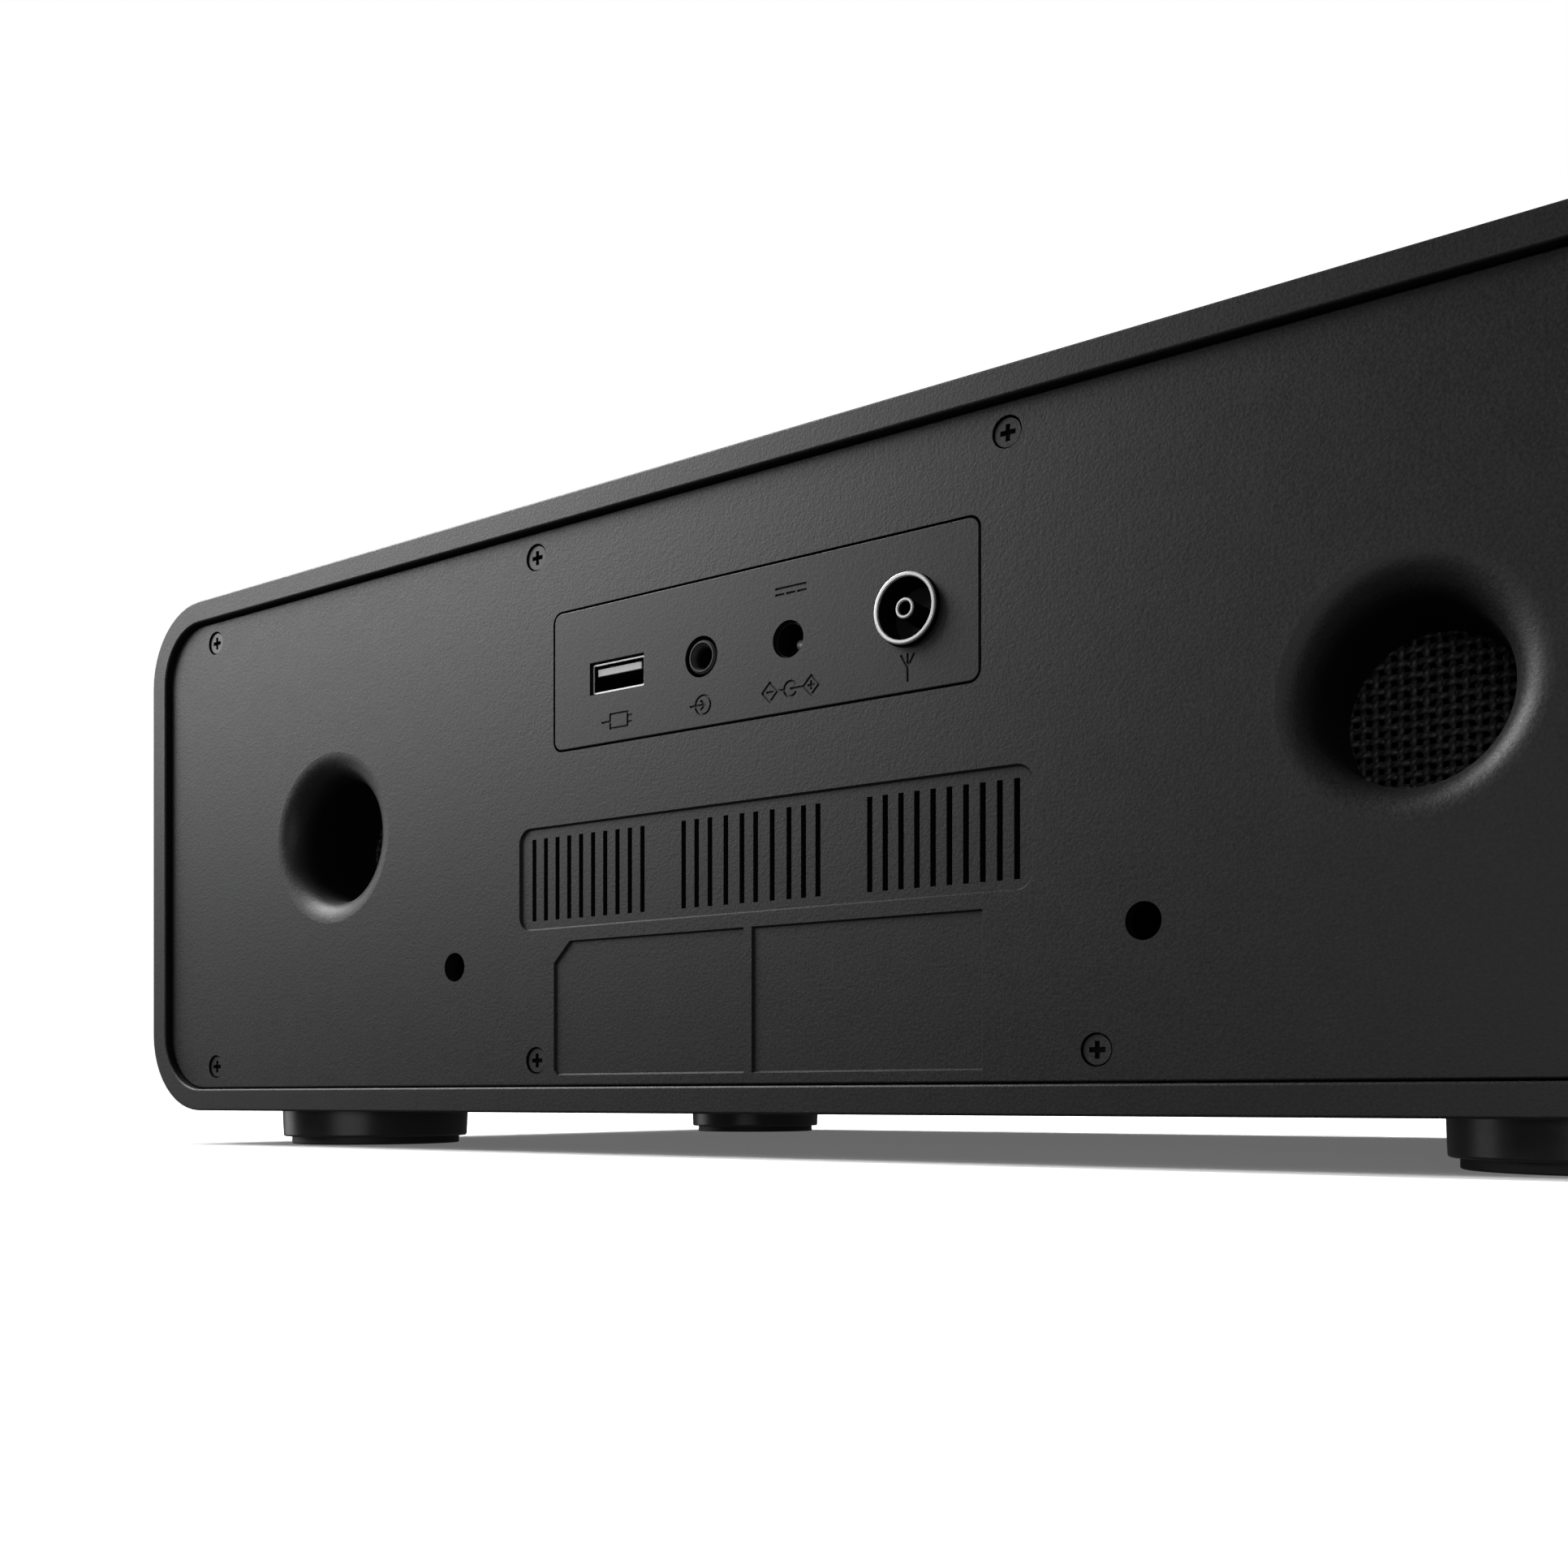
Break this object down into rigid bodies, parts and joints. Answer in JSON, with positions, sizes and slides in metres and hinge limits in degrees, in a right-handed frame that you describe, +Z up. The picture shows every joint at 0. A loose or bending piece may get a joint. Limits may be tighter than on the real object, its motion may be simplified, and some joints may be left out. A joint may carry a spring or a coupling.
{
  "type": "mini hifi system",
  "caption": "Black tabletop hi-fi cabinet with recessed rear panel, rear connectors, vents, twin reflex ports, feet and a slotted front with speakers, display, knobs and buttons.",
  "frame": {"origin": "centre of the set on the surface it stands on, under the middle of its box, knobs included", "axes": "+Z up, front with the knobs towards -Y, rear connectors towards +Y, +X to the right of someone facing the front"},
  "size_m": [0.3614, 0.22, 0.1285],
  "materials": {
    "cabinet_paint": "satin black, fine texture",
    "panel_plastic": "satin black, fine texture",
    "inner_plastic": "matt black",
    "grille_plastic": "matt black",
    "foot_plastic": "semi-gloss black",
    "pad_rubber": "matt",
    "black_screw": "black oxide",
    "black_steel": "black",
    "steel": "plain",
    "bright_metal": "nickel plated",
    "white_plastic": "plain",
    "mesh_fabric": "coarse woven",
    "window": "tinted, glossy",
    "red_window": "dark red, glossy",
    "board": "solder resist",
    "knob_metal": "dark anodised",
    "magnet": "sintered",
    "cone_paper": "pressed fibre",
    "soft_rubber": "matt",
    "heatsink_alu": "extruded",
    "cap_sleeve": "shrink sleeve",
    "wire": "insulated",
    "button_plastic": "satin"
  },
  "bodies": {
    "cabinet": {"antenna_contact": "bright_metal", "antenna_insulator": "inner_plastic", "antenna_shell": "bright_metal", "aux_jack": "inner_plastic", "cabinet_shell": "cabinet_paint", "case_screws": "steel", "chamber_walls": "inner_plastic", "circuit_boards": "board", "connector_plate": "panel_plastic", "dc_jack": "inner_plastic", "dc_pin": "bright_metal", "disc_chassis": "steel", "display_module": "inner_plastic", "display_window": "window", "drive_belt": "soft_rubber", "driver_frames": "black_steel", "driver_magnets": "magnet", "driver_suspensions": "soft_rubber", "encoders": "steel", "fascia": "panel_plastic", "foot_bodies": "foot_plastic", "foot_pads": "pad_rubber", "front_baffle": "inner_plastic", "front_board": "board", "gear_motors": "steel", "grille_left": "grille_plastic", "grille_right": "grille_plastic", "headphone_jack": "inner_plastic", "heatsink": "heatsink_alu", "ir_window": "red_window", "port_meshes": "mesh_fabric", "port_tubes": "inner_plastic", "power_capacitors": "cap_sleeve", "radio_module": "steel", "rear_panel": "panel_plastic", "rear_panel_screws": "black_screw", "ribbon_cable": "white_plastic", "sled_rail": "steel", "speaker_wires": "wire", "spindle_motor": "steel", "usb_shell": "bright_metal", "usb_tongue": "white_plastic"},
    "cone_left": {"driver_cone_left": "cone_paper"},
    "cone_right": {"driver_cone_right": "cone_paper"},
    "volume_shaft": {"volume_shaft": "steel"},
    "volume_knob": {"volume_knob": "knob_metal"},
    "select_shaft": {"select_shaft": "steel"},
    "select_knob": {"select_knob": "knob_metal"},
    "turntable": {"turntable": "inner_plastic"},
    "laser_sled": {"laser_sled": "inner_plastic"},
    "lead_screw": {"lead_screw": "steel"},
    "loading_roller": {"roller_shaft": "steel", "loading_roller": "soft_rubber"},
    "motor_pulley": {"motor_pulley": "white_plastic"},
    "clamp_arm": {"clamp_arm": "white_plastic"},
    "button_1": {"button_1": "button_plastic"},
    "button_2": {"button_2": "button_plastic"},
    "button_3": {"button_3": "button_plastic"},
    "button_4": {"button_4": "button_plastic"},
    "button_5": {"button_5": "button_plastic"}
  },
  "joints": [
    {"name": "cone_left_stroke", "type": "slide", "parent": "cabinet", "child": "cone_left", "axis": [0, 1, 0], "range_m": [-0.002, 0.002], "stiffness_N_per_m": 900},
    {"name": "cone_right_stroke", "type": "slide", "parent": "cabinet", "child": "cone_right", "axis": [0, 1, 0], "range_m": [-0.002, 0.002], "stiffness_N_per_m": 900},
    {"name": "volume_turn", "type": "hinge", "parent": "cabinet", "child": "volume_shaft", "pos_m": [-0.0515, -0.1, 0.06993], "axis": [0, -1, 0], "continuous": true},
    {"name": "volume_push", "type": "slide", "parent": "volume_shaft", "child": "volume_knob", "axis": [0, 1, 0], "range_m": [0, 0.0006], "stiffness_N_per_m": 600},
    {"name": "select_turn", "type": "hinge", "parent": "cabinet", "child": "select_shaft", "pos_m": [0.0515, -0.1, 0.06993], "axis": [0, -1, 0], "continuous": true},
    {"name": "select_push", "type": "slide", "parent": "select_shaft", "child": "select_knob", "axis": [0, 1, 0], "range_m": [0, 0.0006], "stiffness_N_per_m": 600},
    {"name": "button_1_press", "type": "slide", "parent": "cabinet", "child": "button_1", "axis": [0, 1, 0], "range_m": [0, 0.0005], "stiffness_N_per_m": 500},
    {"name": "button_2_press", "type": "slide", "parent": "cabinet", "child": "button_2", "axis": [0, 1, 0], "range_m": [0, 0.0005], "stiffness_N_per_m": 500},
    {"name": "button_3_press", "type": "slide", "parent": "cabinet", "child": "button_3", "axis": [0, 1, 0], "range_m": [0, 0.0005], "stiffness_N_per_m": 500},
    {"name": "button_4_press", "type": "slide", "parent": "cabinet", "child": "button_4", "axis": [0, 1, 0], "range_m": [0, 0.0005], "stiffness_N_per_m": 500},
    {"name": "button_5_press", "type": "slide", "parent": "cabinet", "child": "button_5", "axis": [0, 1, 0], "range_m": [0, 0.0005], "stiffness_N_per_m": 500},
    {"name": "turntable_spin", "type": "hinge", "parent": "cabinet", "child": "turntable", "pos_m": [0, -0.015, 0.09593], "axis": [0, 0, 1], "continuous": true},
    {"name": "sled_travel", "type": "slide", "parent": "cabinet", "child": "laser_sled", "axis": [0, 1, 0], "range_m": [0, 0.034]},
    {"name": "lead_screw_turn", "type": "hinge", "parent": "cabinet", "child": "lead_screw", "pos_m": [0.034, 0.03, 0.09143], "axis": [0, 1, 0], "continuous": true},
    {"name": "roller_spin", "type": "hinge", "parent": "cabinet", "child": "loading_roller", "pos_m": [0, -0.072, 0.10413], "axis": [1, 0, 0], "continuous": true},
    {"name": "pulley_spin", "type": "hinge", "parent": "cabinet", "child": "motor_pulley", "pos_m": [-0.07, -0.05, 0.08793], "axis": [1, 0, 0], "continuous": true},
    {"name": "clamp_lower", "type": "hinge", "parent": "cabinet", "child": "clamp_arm", "pos_m": [0, 0.05, 0.11493], "axis": [1, 0, 0], "range_deg": [0, 2.8], "stiffness_Nm_per_rad": 0.25, "springref_deg": -4.58}
  ],
  "couplings": [
    {"joint": "lead_screw_turn", "follows": "sled_travel", "rad_per_m": 2094.4},
    {"joint": "pulley_spin", "follows": "roller_spin", "ratio": 2.5}
  ]
}
